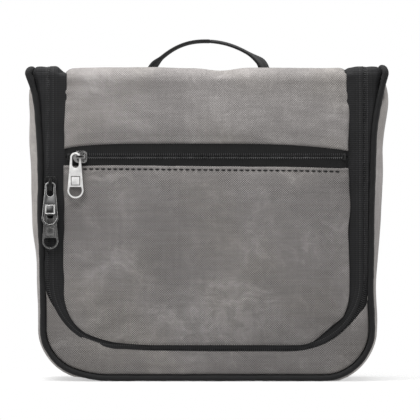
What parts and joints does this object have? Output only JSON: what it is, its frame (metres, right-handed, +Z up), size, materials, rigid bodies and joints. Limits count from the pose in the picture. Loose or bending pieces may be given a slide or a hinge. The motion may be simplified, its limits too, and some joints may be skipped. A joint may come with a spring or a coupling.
{
  "type": "hanging toiletry bag",
  "caption": "Soft box bag whose front and top flap opens on a curved double zip, with a zip front pocket, a webbing handle and an inner hook to hang it by.",
  "frame": {"origin": "centre of the flat underside that the bag stands on, midway between the front and back panels and between the sides", "axes": "+X to the right of someone facing the front pocket, +Y from the front to the back, +Z up"},
  "size_m": [0.27, 0.1204, 0.256],
  "materials": {
    "grey_canvas": "coated twill with a mottled, worn look",
    "black_webbing": "woven polyester tape and webbing",
    "black_piping": "rolled binding with a slight sheen",
    "zip_tape": "fine woven zip tape",
    "coil": "nylon coil",
    "nickel": "polished nickel plating",
    "lining": "plain nylon lining",
    "mesh": "open nylon mesh",
    "board": "plain sheet under the lining",
    "hook_black": "moulded nylon"
  },
  "bodies": {
    "body": {"back_panel": "grey_canvas", "left_gusset": "grey_canvas", "right_gusset": "grey_canvas", "bottom_gusset": "grey_canvas", "lower_front_panel": "grey_canvas", "front_piping": "black_piping", "back_piping": "black_piping", "back_top_binding": "black_webbing", "back_lining": "lining", "base_board": "board", "back_mesh_pocket": "mesh", "back_mesh_binding": "black_webbing", "body_zip_tape": "zip_tape", "body_coil": "coil", "zip_end_tabs": "black_webbing", "carry_handle": "black_webbing"},
    "flap_top": {"flap_top_panel": "grey_canvas", "flap_top_lining": "lining", "flap_top_tape": "zip_tape", "flap_top_coil": "coil"},
    "flap_front": {"upper_panel": "grey_canvas", "pocket_panel": "grey_canvas", "pocket_lining": "lining", "pocket_tape_upper": "zip_tape", "pocket_tape_lower": "zip_tape", "pocket_coil": "coil", "pocket_zip_stops": "nickel", "flap_lining": "lining", "flap_zip_tape": "zip_tape", "flap_coil": "coil", "flap_mesh_pocket": "mesh", "flap_mesh_binding": "black_webbing", "hook_strap": "black_webbing"},
    "hook": {"hanging_hook": "hook_black"},
    "pocket_slider": {"pocket_slider": "nickel"},
    "pocket_pull": {"pocket_pull_tab": "nickel"},
    "upper_slider": {"upper_slider": "nickel"},
    "upper_pull": {"upper_pull_tab": "nickel"},
    "lower_slider": {"lower_slider": "nickel"},
    "lower_pull": {"lower_pull_tab": "nickel"}
  },
  "joints": [
    {"name": "flap_open", "type": "hinge", "parent": "body", "child": "flap_top", "pos_m": [0, 0.042, 0.2313], "axis": [-1, 0, 0], "range_deg": [0, 90], "deforming": ["flap_top_tape", "flap_top_coil", "flap_zip_tape", "flap_coil"]},
    {"name": "flap_fold", "type": "hinge", "parent": "flap_top", "child": "flap_front", "pos_m": [0, -0.044, 0.231], "axis": [-1, 0, 0], "range_deg": [0, 90]},
    {"name": "hook_swing", "type": "hinge", "parent": "flap_front", "child": "hook", "pos_m": [0, -0.039, 0.068], "axis": [1, 0, 0], "range_deg": [0, 180]},
    {"name": "pocket_zip", "type": "slide", "parent": "flap_front", "child": "pocket_slider", "axis": [1, 0, 0], "range_m": [0, 0.185], "deforming": ["pocket_coil"]},
    {"name": "pocket_pull_swing", "type": "hinge", "parent": "pocket_slider", "child": "pocket_pull", "pos_m": [-0.09805, -0.0508, 0.168], "axis": [0, -1, 0], "range_deg": [-15, 30]},
    {"name": "upper_zip", "type": "slide", "parent": "body", "child": "upper_slider", "axis": [0, 0, 1], "range_m": [0, 0.07], "deforming": ["body_coil"]},
    {"name": "upper_pull_lift", "type": "hinge", "parent": "upper_slider", "child": "upper_pull", "pos_m": [-0.117, -0.0486, 0.1487], "axis": [-1, 0, 0], "range_deg": [0, 100]},
    {"name": "lower_zip", "type": "slide", "parent": "body", "child": "lower_slider", "axis": [0, 0, -1], "range_m": [0, 0.05]},
    {"name": "lower_pull_swing", "type": "hinge", "parent": "lower_slider", "child": "lower_pull", "pos_m": [-0.117, -0.0486, 0.12875], "axis": [0, 1, 0], "range_deg": [-30, 45]}
  ]
}
